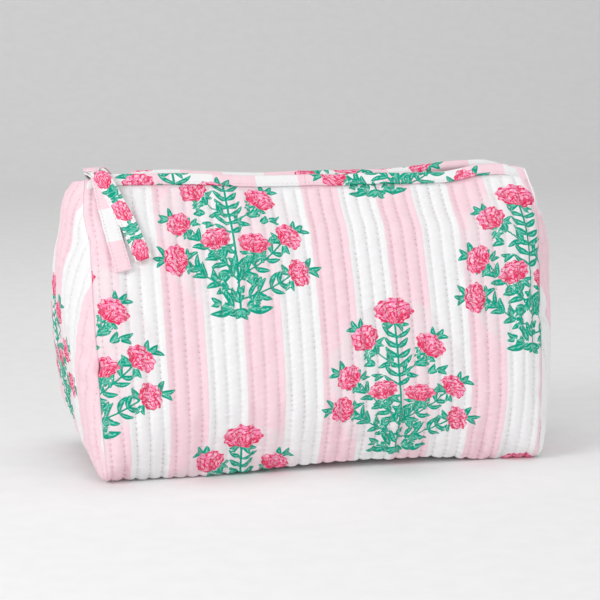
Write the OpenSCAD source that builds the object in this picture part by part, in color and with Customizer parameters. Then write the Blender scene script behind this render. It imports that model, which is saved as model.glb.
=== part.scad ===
// Zip-top makeup bag: quilted front and back panels that lean together over a flat base,
// two padded end gussets, a coil zip between bound top edges, and a folded fabric pull.
// X runs along the zip, Y from front to back, Z up. The base stands on Z = 0.

/* [Bag] */
// Width of the front and back panels, seam to seam
panel_w = 286; // [240:1:320]
// Height to the top of the bound edges
bag_h = 179; // [160:1:200]
// Greatest depth of the bag, low on its sides
bag_d = 143; // [125:1:160]
// Depth of the flat that rests on the table
floor_d = 116; // [90:1:124]
// How far each end gusset bulges sideways beyond its seams
end_bulge = 9; // [5:0.5:12]

/* [Fabric] */
// Thickness of the quilted panels with their wadding
quilt_t = 3.6; // [2.4:0.1:4]
// Thickness of the lining
lining_t = 0.7; // [0.5:0.1:1]
// Height of the bindings on the top edges
binding_h = 7.5; // [6:0.1:10]
// Thickness of the binding cloth
binding_t = 0.9; // [0.6:0.1:1.2]
// Clearance between layers of one wall
layer_gap = 0.2; // [0.1:0.05:0.3]
// Clearance between a wall and what it swings away from
seam_gap = 0.3; // [0.2:0.05:0.5]

/* [Zip] */
// Length of each end of the zip that is sewn shut
zip_end = 21; // [18:0.5:30]
// Pitch of the coil on each side
coil_pitch = 3; // [2.4:0.1:4]
// Length of the slider
slider_l = 14; // [12:0.5:16]
// Width of the slider
slider_w = 10.4; // [9:0.1:11]

/* [Pull] */
// Width of the folded fabric strip
strip_w = 10.3; // [8:0.1:12]
// Thickness of the strip
strip_t = 1.3; // [1:0.1:1.6]
// Length of the front tail
front_tail_l = 55; // [40:1:60]
// Length of the rear tail
rear_tail_l = 52; // [40:1:60]

/* [Hidden] */

// Wall outline: a curve from the base rim up to the bound edge, as [y, z] of the outer face
rim_z = 12;
half_w = panel_w / 2;
half_d = bag_d / 2;
top_y = 12.6;
top_z = bag_h - 1.2;
curve = [
    [2.5 - half_d, rim_z + seam_gap],
    [-1.12 * half_d, 0.27 * bag_h],
    [-0.475 * half_d, 0.63 * bag_h],
    [-top_y, top_z]
];
wall_steps = 18;
rim_steps = 6;

// Depths of the layers, measured inward from the outer face
lining_in = quilt_t + layer_gap;
stack_t = lining_in + lining_t;
seam_strip_in = stack_t + 1.2;
seam_strip_t = 1.5;
seam_strip_w = 9;
seam_strip_top = 0.9;

// Gusset: bows outward between its seams, most above the base and less at its top
gusset_x = half_w + seam_gap;
gusset_steps = 10;
floor_share = 0.3;
top_share = 0.65;

// Zip: heights and widths about the plane of the tape
tape_z = top_z - 3.2;
tape_t = 0.6;
tape_edge = 7.6;
coil_edge = 3.1;
coil_spine = 1.4;
coil_t = 1.8;
tooth_l = 2.5;
tooth_w = 1.1;
zip_open_l = panel_w - 2 * zip_end;
plate_t = 0.9;
channel = 1.4;
flange_w = 0.9;
slider_x = slider_l / 2 - half_w + 6.5;
plate_top = tape_z + channel + plate_t;

// Bail: the arch on the slider, whose bar carries the fabric pull
bar_r = 0.6;
bail_half = 5.6;
bar_z = plate_top + 4.7;

// Pull: a loop around the bar, and two tails that lie on the front
loop_in = 0.9;
loop_out = loop_in + strip_t;
loop_w = 9.2;
loop_reach = 14;
tail_lean = -21.5;
tail_y = -17.4;
tail_z = bar_z - 1.4;

// A point of the cubic curve at t, and the direction of the curve there
function curve_at(t) = pow(1 - t, 3) * curve[0] + 3 * pow(1 - t, 2) * t * curve[1]
    + 3 * (1 - t) * t * t * curve[2] + pow(t, 3) * curve[3];
function slope_at(t) = pow(1 - t, 2) * (curve[1] - curve[0]) + 2 * (1 - t) * t * (curve[2] - curve[1])
    + t * t * (curve[3] - curve[2]);
function along(t) = slope_at(t) / norm(slope_at(t));
function inward(t) = [along(t).y, -along(t).x];

// Points at a depth below the outer face: up the front wall, and round the base
function wall_line(depth, top = 1) = [
    for (i = [0:wall_steps]) curve_at(top * i / wall_steps) + depth * inward(top * i / wall_steps)
];
function rim_point(depth, a, side) = [
    side * (floor_d / 2 + (-curve[0].x - floor_d / 2 - depth) * cos(a)),
    rim_z - (rim_z - depth) * sin(a)
];
function base_line(depth) = concat(
    [for (i = [0:rim_steps]) rim_point(depth, 90 * i / rim_steps, -1)],
    [for (i = [rim_steps:-1:0]) rim_point(depth, 90 * i / rim_steps, 1)]
);
function reversed(points) = [for (i = [len(points) - 1:-1:0]) points[i]];
function to_back(points) = [for (p = points) [-p.x, p.y]];

// How far the gusset bows out at a height
function bow(z) = end_bulge * (1 - (1 - floor_share) * pow(1 - z / top_z, 8))
    * (1 - (1 - top_share) * z / top_z);

// The front edge of the bag's end at a depth, from the floor up
function end_edge(depth) = concat(
    [for (i = [rim_steps:-1:0]) rim_point(depth, 90 * i / rim_steps, -1)], wall_line(depth)
);

// A level cut through the gusset: across at one face, and back at the other
function gusset_cut(p, x_in, x_out) = concat(
    [for (j = [0:gusset_steps]) let (k = 2 * j / gusset_steps - 1)
        [x_out + bow(p.y) * (1 - k * k), -k * p.x, p.y]],
    [for (j = [gusset_steps:-1:0]) let (k = 2 * j / gusset_steps - 1)
        [x_in + bow(p.y) * (1 - k * k), -k * p.x, p.y]]
);

// The outline of the bag's end at a depth, from the front top edge round the base to the back one
function end_line(depth, top = 1) = concat(
    reversed(wall_line(depth, top)), base_line(depth), to_back(wall_line(depth, top))
);

// A point by its height above the wall's top and its depth below the outer face there
function edge_point(up, depth) = curve[3] + up * along(1) + depth * inward(1);

// Stands a [y, z] outline up and runs it along X from x0
module run_x(x0, length) {
    translate([x0, 0, 0]) rotate([90, 0, 90]) linear_extrude(length) children();
}

module wall_layer(depth, thickness) {
    run_x(-half_w, panel_w)
        polygon(concat(wall_line(depth), reversed(wall_line(depth + thickness))));
}

module base_layer(depth, thickness) {
    run_x(-half_w, panel_w)
        polygon(concat(base_line(depth), reversed(base_line(depth + thickness))));
}

// A bowed sheet across the right-hand end, between two distances from the seam plane
module end_layer(x_in, x_out, depth) {
    cuts = [for (p = end_edge(depth)) gusset_cut(p, gusset_x + x_in, gusset_x + x_out)];
    n = len(cuts[0]);
    last = len(cuts) - 1;
    polyhedron(
        points = [for (cut = cuts) each cut],
        faces = concat(
            [[for (j = [0:n - 1]) j]],
            [[for (j = [n - 1:-1:0]) last * n + j]],
            [for (i = [0:last - 1]) for (j = [0:n - 1]) [i * n + j, (i + 1) * n + j, i * n + (j + 1) % n]],
            [for (i = [0:last - 1]) for (j = [0:n - 1])
                [i * n + (j + 1) % n, (i + 1) * n + j, (i + 1) * n + (j + 1) % n]]
        )
    );
}

// The bound seam allowance that runs round the inside of the right-hand end
module seam_strip() {
    run_x(half_w - seam_strip_w, seam_strip_w)
        polygon(concat(
            end_line(seam_strip_in, seam_strip_top),
            reversed(end_line(seam_strip_in + seam_strip_t, seam_strip_top))
        ));
}

module edge_binding() {
    outer = -layer_gap - binding_t;
    inner = stack_t + layer_gap + binding_t;
    foot = 1.1 - binding_h;
    round_off = 0.6;
    run_x(-half_w, panel_w) polygon([
        edge_point(foot, outer), edge_point(1.1 - round_off, outer),
        edge_point(1.1, outer + round_off), edge_point(1.1, inner - round_off),
        edge_point(1.1 - round_off, inner), edge_point(foot, inner),
        edge_point(foot, inner - binding_t), edge_point(layer_gap, inner - binding_t),
        edge_point(layer_gap, outer + binding_t), edge_point(foot, outer + binding_t)
    ]);
}

module tape(x0, length) {
    translate([x0, -tape_edge, tape_z - tape_t / 2])
        cube([length, tape_edge - coil_edge - layer_gap, tape_t]);
}

// One side of the coil: a spine with teeth that reach past the middle
module coil(shift) {
    translate([-zip_open_l / 2, -coil_edge, tape_z - coil_t / 2]) {
        cube([zip_open_l, coil_spine, coil_t]);
        for (x = [shift:coil_pitch:zip_open_l - coil_pitch / 2])
            translate([x, coil_spine - 0.1, 0]) cube([tooth_w, tooth_l + 0.1, coil_t]);
    }
}

module slider_plate(z) {
    cut = 2.4;
    translate([0, 0, z]) linear_extrude(plate_t) polygon([
        [-slider_l / 2, cut - slider_w / 2], [cut - slider_l / 2, -slider_w / 2],
        [slider_l / 2 - cut, -slider_w / 2], [slider_l / 2, cut - slider_w / 2],
        [slider_l / 2, slider_w / 2 - cut], [slider_l / 2 - cut, slider_w / 2],
        [cut - slider_l / 2, slider_w / 2], [-slider_l / 2, slider_w / 2 - cut]
    ]);
}

// A tail: a strip that hangs down from the loop, slanted to the right and leaning with the wall
module tail(x, y, slant, length) {
    translate([x, y, tail_z]) rotate([tail_lean, 0, 0]) rotate([0, -slant, 0])
        translate([-strip_w / 2, -strip_t, -length]) cube([strip_w, strip_t, length]);
}

module base_panel() {
    color("#f3c9d6") base_layer(0, quilt_t);
}

module base_lining() {
    color("#f7f5f3") base_layer(lining_in, lining_t);
}

module right_gusset() {
    color("#f6dbe3") end_layer(lining_t + layer_gap, lining_t + layer_gap + quilt_t, 0);
}

module left_gusset() {
    color("#f6dbe3") mirror([1, 0, 0]) end_layer(lining_t + layer_gap, lining_t + layer_gap + quilt_t, 0);
}

module right_gusset_lining() {
    color("#f7f5f3") end_layer(0, lining_t, stack_t + seam_gap);
}

module left_gusset_lining() {
    color("#f7f5f3") mirror([1, 0, 0]) end_layer(0, lining_t, stack_t + seam_gap);
}

module right_seam_binding() {
    color("#efe6e2") seam_strip();
}

module left_seam_binding() {
    color("#efe6e2") mirror([1, 0, 0]) seam_strip();
}

module left_zip_end() {
    color("#f4f1ee") for (back = [0, 1]) mirror([0, back, 0]) tape(-half_w, zip_end - seam_gap);
}

module right_zip_end() {
    color("#f4f1ee") for (back = [0, 1])
        mirror([0, back, 0]) tape(half_w - zip_end + seam_gap, zip_end - seam_gap);
}

// Two small clamps that stop the slider when the zip is closed
module top_stops() {
    color("silver") for (y = [-1, 1])
        translate([-half_w + 2.6, y * 1.9 - 1, tape_z - 1.2]) cube([2.6, 2, 2.4]);
}

// One clamp across both tapes that stops the slider when the zip is open
module bottom_stop() {
    color("silver") translate([half_w - 5.2, -2.9, tape_z - 1.2]) cube([2.6, 5.8, 2.4]);
}

module front_panel() {
    color("#f4d3de") wall_layer(0, quilt_t);
}

module front_lining() {
    color("#f7f5f3") wall_layer(lining_in, lining_t);
}

module front_binding() {
    color("#f0b7c8") edge_binding();
}

module front_zip_tape() {
    color("#f4f1ee") tape(-zip_open_l / 2, zip_open_l);
}

module front_zip_coil() {
    color("#e9e5e1") coil(coil_pitch / 2);
}

module back_panel() {
    color("#f4d3de") mirror([0, 1, 0]) wall_layer(0, quilt_t);
}

module back_lining() {
    color("#f7f5f3") mirror([0, 1, 0]) wall_layer(lining_in, lining_t);
}

module back_binding() {
    color("#f0b7c8") mirror([0, 1, 0]) edge_binding();
}

module back_zip_tape() {
    color("#f4f1ee") mirror([0, 1, 0]) tape(-zip_open_l / 2, zip_open_l);
}

module back_zip_coil() {
    color("#e9e5e1") mirror([0, 1, 0]) coil(coil_pitch);
}

// Two plates with turned-in edges, joined by the wedge that parts the coils
module slider_body() {
    wedge_w = 2.4;
    lip = channel - tape_t / 2 - 0.4;
    flange_l = 8.4;
    color("silver") translate([slider_x, 0, tape_z]) {
        slider_plate(channel);
        slider_plate(-channel - plate_t);
        translate([-slider_l / 2 + 0.8, -wedge_w / 2, -channel - plate_t / 2])
            cube([2.6, wedge_w, 2 * channel + plate_t]);
        for (y = [-slider_w / 2, slider_w / 2 - flange_w])
            for (z = [channel - lip, -channel - plate_t / 2])
                translate([-flange_l / 2, y, z]) cube([flange_l, flange_w, lip + plate_t / 2]);
    }
}

module slider_bail() {
    color("silver") translate([slider_x, 0, bar_z]) {
        translate([-bail_half, 0, 0]) rotate([0, 90, 0]) cylinder(h = 2 * bail_half, r = bar_r, $fn = 32);
        for (x = [-bail_half, bail_half]) translate([x, 0, 0]) {
            sphere(r = bar_r, $fn = 32);
            translate([0, 0, plate_top - bar_z]) cylinder(h = bar_z - plate_top, r = bar_r, $fn = 32);
        }
    }
}

// The strip where it passes round the bar and forward over the bound edge
module pull_loop() {
    color("#f3b8c9") translate([0, 0, bar_z]) run_x(slider_x - loop_w / 2, loop_w) difference() {
        union() {
            circle(r = loop_out, $fn = 48);
            translate([-loop_reach, -loop_out]) square([loop_reach, 2 * loop_out]);
        }
        circle(r = loop_in, $fn = 48);
        translate([strip_t - loop_reach, -loop_in]) square([loop_reach - strip_t, 2 * loop_in]);
    }
}

module front_tail() {
    color("#f4c6d3") tail(slider_x + 1.5, tail_y - 1.9, 30, front_tail_l);
}

module rear_tail() {
    color("#f7e9ee") tail(slider_x - 4.5, tail_y, 17, rear_tail_l);
}

// A bar tack across the neck of the tails
module pull_stitching() {
    color("#f7a9bd") translate([slider_x + 1.5, tail_y - 1.9 - strip_t, tail_z])
        rotate([tail_lean, 0, 0]) rotate([0, -30, 0])
            translate([-3.6, -0.7, -7]) cube([7.2, 0.6, 1.2]);
}

base_panel();
base_lining();
left_gusset();
right_gusset();
left_gusset_lining();
right_gusset_lining();
left_seam_binding();
right_seam_binding();
left_zip_end();
right_zip_end();
top_stops();
bottom_stop();
front_panel();
front_lining();
front_binding();
front_zip_tape();
front_zip_coil();
back_panel();
back_lining();
back_binding();
back_zip_tape();
back_zip_coil();
slider_body();
slider_bail();
pull_loop();
front_tail();
rear_tail();
pull_stitching();
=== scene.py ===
import math
from collections import namedtuple

import bpy
import numpy as np
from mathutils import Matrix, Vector


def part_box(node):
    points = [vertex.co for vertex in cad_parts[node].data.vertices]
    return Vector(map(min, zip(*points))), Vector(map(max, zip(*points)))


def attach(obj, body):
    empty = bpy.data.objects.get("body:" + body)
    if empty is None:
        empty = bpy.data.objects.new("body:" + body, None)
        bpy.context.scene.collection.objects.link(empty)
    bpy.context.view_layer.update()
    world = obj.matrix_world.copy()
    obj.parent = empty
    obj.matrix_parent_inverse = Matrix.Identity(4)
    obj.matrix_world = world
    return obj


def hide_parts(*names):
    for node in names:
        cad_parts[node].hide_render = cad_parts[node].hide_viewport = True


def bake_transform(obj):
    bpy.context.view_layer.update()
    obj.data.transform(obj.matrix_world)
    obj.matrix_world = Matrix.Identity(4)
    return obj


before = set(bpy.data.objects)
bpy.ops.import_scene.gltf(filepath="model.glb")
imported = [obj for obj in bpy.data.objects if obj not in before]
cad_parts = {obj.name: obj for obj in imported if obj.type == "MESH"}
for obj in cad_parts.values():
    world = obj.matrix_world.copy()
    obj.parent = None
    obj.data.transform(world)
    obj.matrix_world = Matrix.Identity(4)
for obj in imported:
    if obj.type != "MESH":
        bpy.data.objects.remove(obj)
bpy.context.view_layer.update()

MM = 0.001


# ---------------- sizes, in mm, from the frame
def box_mm(node):
    """A node's low and high corners, in mm."""
    low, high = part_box(node)
    return np.array(low) / MM, np.array(high) / MM


panel_lo, panel_hi = box_mm("front_panel")
base_lo, base_hi = box_mm("base_panel")
coil_lo, coil_hi = box_mm("front_zip_coil")
bail_lo, bail_hi = box_mm("slider_bail")

HALF_W = panel_hi[0]
RIM_Z = base_hi[2]
RIM_Y = -base_lo[1]
FLOOR_Y = 58.0
WALL_TOP = panel_hi[2]
TOP_Y = 12.6
WALL_CURVE = np.array([
    [-RIM_Y, panel_lo[2]],
    [-1.13 * RIM_Y, 0.27 * WALL_TOP],
    [-0.83 * RIM_Y, 0.68 * WALL_TOP],
    [-TOP_Y, WALL_TOP],
])
QUILT_T = 3.6

# Quilting, stripes and print
CHANNEL = 8.0
STRIPE = 3 * CHANNEL
STRIPE_X = 41.8          # a place on the front where a white stripe ends and a pink one starts
STITCH = 3.7
STITCH_X = STRIPE_X + CHANNEL / 2
PUFF = 1.25

# The walls' pieces are cut into left and right halves at these places on the walls
SPLIT_X = STITCH_X - 6 * CHANNEL


# ---------------- small maths
def smooth(x, low, high):
    t = np.clip((x - low) / (high - low), 0, 1)
    return t * t * (3 - 2 * t)


def bezier(t, p):
    t = np.asarray(t)[..., None]
    return (1 - t) ** 3 * p[0] + 3 * (1 - t) ** 2 * t * p[1] + 3 * (1 - t) * t * t * p[2] + t ** 3 * p[3]


def run_along(points):
    """How far along a polyline each of its points lies."""
    return np.r_[0, np.cumsum(np.linalg.norm(np.diff(points, axis=0), axis=1))]


def resample(points, places, run=None):
    """Points at given distances along a polyline, whose own points lie at the distances run."""
    run = run_along(points) if run is None else run
    return np.stack([np.interp(places, run, points[:, k]) for k in range(points.shape[1])], -1)


def length_of(points):
    return float(np.linalg.norm(np.diff(points, axis=0), axis=1).sum())


def catmull(grid, n_out, axis):
    """Resamples a grid along one axis with a smooth cubic."""
    g = np.moveaxis(grid, axis, 0)
    n = g.shape[0]
    x = np.linspace(0, n - 1, n_out)
    i = np.clip(x.astype(int), 0, n - 2)
    t = (x - i).reshape((-1,) + (1,) * (g.ndim - 1))
    a = np.where((i > 0).reshape(t.shape), g[np.maximum(i - 1, 0)], 2 * g[i] - g[i + 1])
    d = np.where((i < n - 2).reshape(t.shape), g[np.minimum(i + 2, n - 1)], 2 * g[i + 1] - g[i])
    b, c = g[i], g[i + 1]
    out = 0.5 * (2 * b + (c - a) * t + (2 * a - 5 * b + 4 * c - d) * t ** 2 + (3 * b - a - 3 * c + d) * t ** 3)
    return np.moveaxis(out, 0, axis)


def refine(grid, nu, nv):
    return catmull(catmull(grid, nu, 0), nv, 1)


LATTICE = 64


def lattice_noise(x, y, seed):
    """Smooth noise from -1 to 1 on a unit lattice."""
    table = np.random.default_rng(seed).uniform(-1, 1, (LATTICE, LATTICE))
    i, j = np.floor(x).astype(int), np.floor(y).astype(int)
    u, v = x - i, y - j
    u, v = u * u * (3 - 2 * u), v * v * (3 - 2 * v)
    i, j, ii, jj = i % LATTICE, j % LATTICE, (i + 1) % LATTICE, (j + 1) % LATTICE
    return (table[i, j] * (1 - u) + table[ii, j] * u) * (1 - v) + (table[i, jj] * (1 - u) + table[ii, jj] * u) * v


def normalized(a):
    return a / np.maximum(np.linalg.norm(a, axis=-1, keepdims=True), 1e-9)


def normals_of(grid, flip=1.0):
    return normalized(np.cross(np.gradient(grid, axis=0), np.gradient(grid, axis=1)) * flip)


# ---------------- outline of the bag's end
RIM_POINTS, WALL_POINTS = 60, 400


def end_outline():
    """[y, z] of the outer face on the front side, from the floor up to the bound edge."""
    a = np.linspace(math.pi / 2, 0, RIM_POINTS)
    rim = np.stack([-(FLOOR_Y + (RIM_Y - FLOOR_Y) * np.cos(a)), RIM_Z - RIM_Z * np.sin(a)], -1)
    wall = bezier(np.linspace(0, 1, WALL_POINTS), WALL_CURVE)
    return np.vstack([rim, wall])


OUTLINE = end_outline()
OUTLINE_L = length_of(OUTLINE)
RIM_L = length_of(OUTLINE[:RIM_POINTS + 1])


# ---------------- the cloth simulation of the whole bag
NX, NV, NB = 48, 32, 14      # cells along the front, up the walls and across the base
SIM_FRAMES = 22
SIM_SCALE = 10               # the cloth is simulated at ten times its size
MAX_MOVE = 7.0


def gusset_bow(v, k, side):
    """How far the gusset bows out at a share v of the way up the end and k of the way across it."""
    if side < 0:
        return 7.6 * smooth(v, 0.06, 0.55) * (1 - smooth(v, 0.9, 1.2)) * (1 - k ** 2)
    return 6.4 * smooth(v, 0.0, 0.3) * (1 - smooth(v, 0.72, 0.98)) * (1 - np.abs(k) ** 3)


# How the bound edges ride above a straight line: (mm up, side, from x, to x), over a level of TOP_LEVEL
TOP_LEVEL = 4
FRONT_LIFT = ((3.6, -1, 20, 110), (-2.0, -1, 132, 146), (4.4, 1, 88, 120), (-2.6, 1, 130, 146))
BACK_LIFT = ((3.0, -1, 20, 90), (-6.0, -1, 106, 124), (4.6, 1, 50, 112), (-2.6, 1, 124, 146))


def top_lift(x, back=False):
    """How far the bound edge stands above a straight line: it dips along the middle and rides up at both ends."""
    lift = TOP_LEVEL
    for up, side, low, high in BACK_LIFT if back else FRONT_LIFT:
        lift = lift + up * smooth(side * x, low, high)
    return lift


# The far left corner's lift from front to back, and the right end's lean out from the floor up
CURL_Y, CURL_UP = [-60, -44, -15, 11, 32, 48, 70], [0.5, 7, 13, 15.5, 18.5, 21, 24]
LEAN_Z, LEAN_X = [0, 12, 30, 60, 95, 130, 150, 168, 185], [-2, -2.5, -2.8, -1.2, 1.2, 4.4, 6.8, 7.4, 4.6]


def settle(g):
    """The soft bag on the floor: its base arches along the middle, and the far left corner curls up."""
    x, y, z = g[..., 0], g[..., 1], g[..., 2]
    arch = 4.0 * smooth(x, -95, 25) * (1 - smooth(x, 65, 115)) * (1 - smooth(z, 0, 70))
    left = smooth(-x, 55, 145) * (1 - smooth(z, 0, 115))
    curl = left * np.interp(y, CURL_Y, CURL_UP)
    bulge = 3.5 * np.sin(math.pi * np.clip(z / 185, 0, 1)) + 3.2 * np.exp(-((z - 166) / 17) ** 2)
    wide = np.where(x < 0, bulge, np.interp(z, LEAN_Z, LEAN_X)) * np.clip(x / HALF_W, -1.05, 1.05) ** 3
    return np.stack([x + wide, y, z + arch + curl], -1)


def rest_shape():
    """Grids of the bag's outer face: front, back, base and both ends, before it is puffed."""
    side = resample(OUTLINE, np.linspace(0, OUTLINE_L, NV + 1))
    x = np.linspace(-HALF_W, HALF_W, NX + 1)
    front = np.zeros((NX + 1, NV + 1, 3))
    front[..., 0] = x[:, None]
    front[..., 1:] = side[None]
    back = front * np.array([1, -1, 1])
    high = smooth(np.linspace(0, 1, NV + 1), 0.35, 1)[None]
    front[..., 2] += top_lift(x)[:, None] * high
    back[..., 2] += top_lift(x, True)[:, None] * high
    k = np.linspace(-1, 1, NB + 1)
    base = np.zeros((NX + 1, NB + 1, 3))
    base[..., 0] = x[:, None]
    base[..., 1] = (k * FLOOR_Y)[None]
    ends = []
    for s, row in ((-1, 0), (1, NX)):
        edge, far = front[row], back[row]
        g = np.zeros((NB + 1, NV + 1, 3))
        g[..., 0] = s * (HALF_W + gusset_bow(np.linspace(0, 1, NV + 1)[None], k[:, None], s))
        g[..., 1:] = edge[None, :, 1:] * (1 - k[:, None, None]) / 2 + far[None, :, 1:] * (1 + k[:, None, None]) / 2
        ends.append(g)
    return [settle(g) for g in (front, back, base, ends[0], ends[1])]


def simulate(parts):
    """Inflates the bag as one closed cloth, and returns the same grids moved."""
    front, back, base, left, right = parts
    top = np.stack([front[:, -1] * (1 - t) + back[:, -1] * t for t in np.linspace(0, 1, NB + 1)], 1)
    grids = [front, back, base, left, right, top]
    flips = [1, -1, -1, -1, 1, 1]
    points, index, ids = [], {}, []
    for g in grids:
        flat = g.reshape(-1, 3)
        row = []
        for p, key in zip(flat, map(tuple, np.round(flat, 3))):
            if key not in index:
                index[key] = len(points)
                points.append(p)
            row.append(index[key])
        ids.append(np.array(row).reshape(g.shape[:2]))
    faces = []
    for g, flip in zip(ids, flips):
        quad = np.stack([g[:-1, :-1], g[1:, :-1], g[1:, 1:], g[:-1, 1:]], -1).reshape(-1, 4)
        faces += quad[:, ::flip].tolist()
    start = np.array(points)
    mesh = bpy.data.meshes.new("puff")
    mesh.from_pydata((start * MM * SIM_SCALE).tolist(), [], faces)
    ob = bpy.data.objects.new("puff", mesh)
    bpy.context.scene.collection.objects.link(ob)

    held = np.zeros(len(start))
    held[ids[2].ravel()] = 0.9
    held[ids[5].ravel()] = 1
    for g in (ids[0], ids[1]):
        held[g[:, -2:]] = 1
        held[g[:, -3]] = 0.5
        for edge in (g[0], g[-1]):
            held[edge] = np.maximum(held[edge], 0.55)
    group = ob.vertex_groups.new(name="held")
    for i, w in enumerate(held):
        if w > 0:
            group.add([i], float(w), "REPLACE")
    cloth = ob.modifiers.new("cloth", "CLOTH")
    s = cloth.settings
    s.quality = 6
    s.mass = 0.4
    s.tension_stiffness = s.compression_stiffness = 12
    s.shear_stiffness = 4
    s.bending_stiffness = 1.2
    s.vertex_group_mass = "held"
    s.pin_stiffness = 1.0
    s.use_pressure = True
    s.uniform_pressure_force = 2.2
    s.shrink_min = -0.025
    s.effector_weights.gravity = 0
    cloth.collision_settings.use_collision = False
    scene = bpy.context.scene
    for f in range(1, SIM_FRAMES + 1):
        scene.frame_set(f)
    moved = ob.evaluated_get(bpy.context.evaluated_depsgraph_get()).data
    out = np.empty(len(start) * 3)
    moved.vertices.foreach_get("co", out)
    out = out.reshape(-1, 3) / (MM * SIM_SCALE)
    scene.frame_set(1)
    bpy.data.objects.remove(ob)
    bpy.data.meshes.remove(mesh)
    share = np.zeros(len(start))
    for g in (ids[0], ids[1], ids[3], ids[4]):
        share[g] = np.maximum(share[g], np.linspace(0, 1, g.shape[1])[None])
    step = (out - start) * (1 - smooth(share, 0.66, 0.97))[:, None]
    far = np.linalg.norm(step, axis=1, keepdims=True)
    out = start + step * np.minimum(1, MAX_MOVE / np.maximum(far, 1e-6))
    out[:, 2] = np.maximum(out[:, 2], 0)
    return [out[i] for i in ids[:5]]


parts = rest_shape()
parts = simulate(parts)
front_c, back_c, base_c, left_c, right_c = parts


# ---------------- the print: a flowering sprig
def unit(deg):
    return np.array([math.cos(math.radians(deg)), math.sin(math.radians(deg))])


def sprig():
    """One sprig about the middle of its top blossom, in mm: blossoms, leaves and stems."""
    draw = np.random.default_rng(21)
    blossoms = [(0, 0, 90, 12.4, 8.6)]
    lateral = [(-19.5, -16, 128, 9.4, 8.0), (22, -22, 55, 10.0, 7.2), (-31, -41, 150, 9.0, 7.4),
               (36, -50, 40, 9.4, 6.8), (-9.5, -51, 108, 9.6, 7.0), (14, -54, 84, 10.0, 6.6),
               (-35, -64, 175, 9.4, 7.6), (40, -73, 18, 8.8, 7.0)]
    joints = [-34, -40, -70, -74, -76, -78, -84, -88]
    leaves, stems = [], []
    root = np.array([1.5, -94])

    def spray(x, y, headings, low, high, width):
        for h in headings:
            leaves.append((x, y, h + draw.uniform(-6, 6), draw.uniform(low, high), width * draw.uniform(0.85, 1.15)))

    main = np.array([[0, -7], [0.8, -30], [1.8, -60], root])
    stems.append((main, 0.7))
    for (x, y, tilt, rx, ry), z in zip(lateral, joints):
        foot = np.array([x, y]) - unit(tilt) * ry
        start = np.array([1.0, z])
        bend = np.array([foot[0] * 0.6, (foot[1] + 2 * z) / 3])
        t = np.linspace(0, 1, 13)[:, None]
        line = (1 - t) ** 2 * start + 2 * (1 - t) * t * bend + t * t * foot
        stems.append((line, 0.56))
        long = np.linalg.norm(foot - start)
        for share in np.linspace(0.2, 0.8, max(2, int(long / 8.5))):
            i = int(share * 12)
            heading = math.degrees(math.atan2(*(line[min(i + 1, 12)] - line[i - 1])[::-1]))
            for turn in (40, -40):
                spray(*(line[i] + unit(heading + turn) * 0.6), [heading + turn], 8.2, 11.0, 3.3)
        blossoms.append((x, y, tilt, rx, ry))
        if abs(x) > 15:
            tip = np.array([x, y]) + unit(tilt) * ry * 0.8
            spray(*tip, [tilt - 56, tilt - 8, tilt + 46], 7.5, 10.5, 3.4)
    for x, y, tilt, rx, ry in blossoms:
        foot = np.array([x, y]) - unit(tilt) * ry * 0.66
        spray(*foot, [tilt + a for a in (74, 104, 140, -140, -104, -74)], 8.0, 10.6, 3.4)
    for y in np.arange(-16, -50, -6.2):
        spray(0.8, y, [38, 142], 8.5, 12.5, 3.2)
    for x, y, h in ((-13, -26, 200), (-14, -33, 175), (11, -33, 20), (-9, -40, 215), (24, -38, 15), (20, -40, 50)):
        spray(x, y, [h + 4, h - 38], 7.5, 10, 3.3)
    for x, y in ((1.6, -68), (-9, -78), (11, -80)):
        spray(x, y, [42, 90, 138], 7.5, 10, 3.6)
    spray(root[0] + 4, root[1] + 1, [-14, 6, 26, 52], 12, 17, 4.6)
    spray(root[0] - 4, root[1] + 1, [194, 174, 154, 128], 12, 17, 4.6)
    spray(root[0], root[1] + 4, [70, 90, 110], 9, 12, 4.2)
    spray(*root, [-60, -120, -20, 200], 6, 9, 4.0)
    return blossoms, leaves, stems


def strip_sprigs():
    """A row of blossoms and leaves for the narrow pull, along -v from its top."""
    draw = np.random.default_rng(5)
    blossoms = [(-0.4, -23, 80, 5.4, 8.0), (0.8, -49, 100, 5.6, 9.0), (0.2, -78, 84, 5.4, 8.2)]
    leaves = []
    for y in (-3, -8, -12, -34, -38, -61, -65, -69):
        for h in (20, 70, 110, 160, -40, -140):
            leaves.append((draw.uniform(-2.5, 2.5), y + draw.uniform(-1, 1), h + draw.uniform(-15, 15),
                           draw.uniform(5, 7.5), 2.8))
    return blossoms, leaves, [(np.array([[0, -2], [0.5, -72]]), 0.4)]


SPRIG = sprig()
PULL_SPRIGS = strip_sprigs()
SPRIG_TOP, SPRIG_TIP, SPRIG_HALF = 15.0, -104.0, 58.0


OUTSIDE = -9.0


def turned(x, y, heading):
    """Places x, y as distances along and across a heading in degrees."""
    c, s = math.cos(math.radians(heading)), math.sin(math.radians(heading))
    return c * x + s * y, -s * x + c * y


def put_deepest(into, near, field, along, across):
    """Writes a shape's depth and places wherever it lies deeper than what is there."""
    better = field > into[near, 0]
    for k, values in enumerate((field, along, across)):
        into[near[better], k] = values[better]


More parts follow.
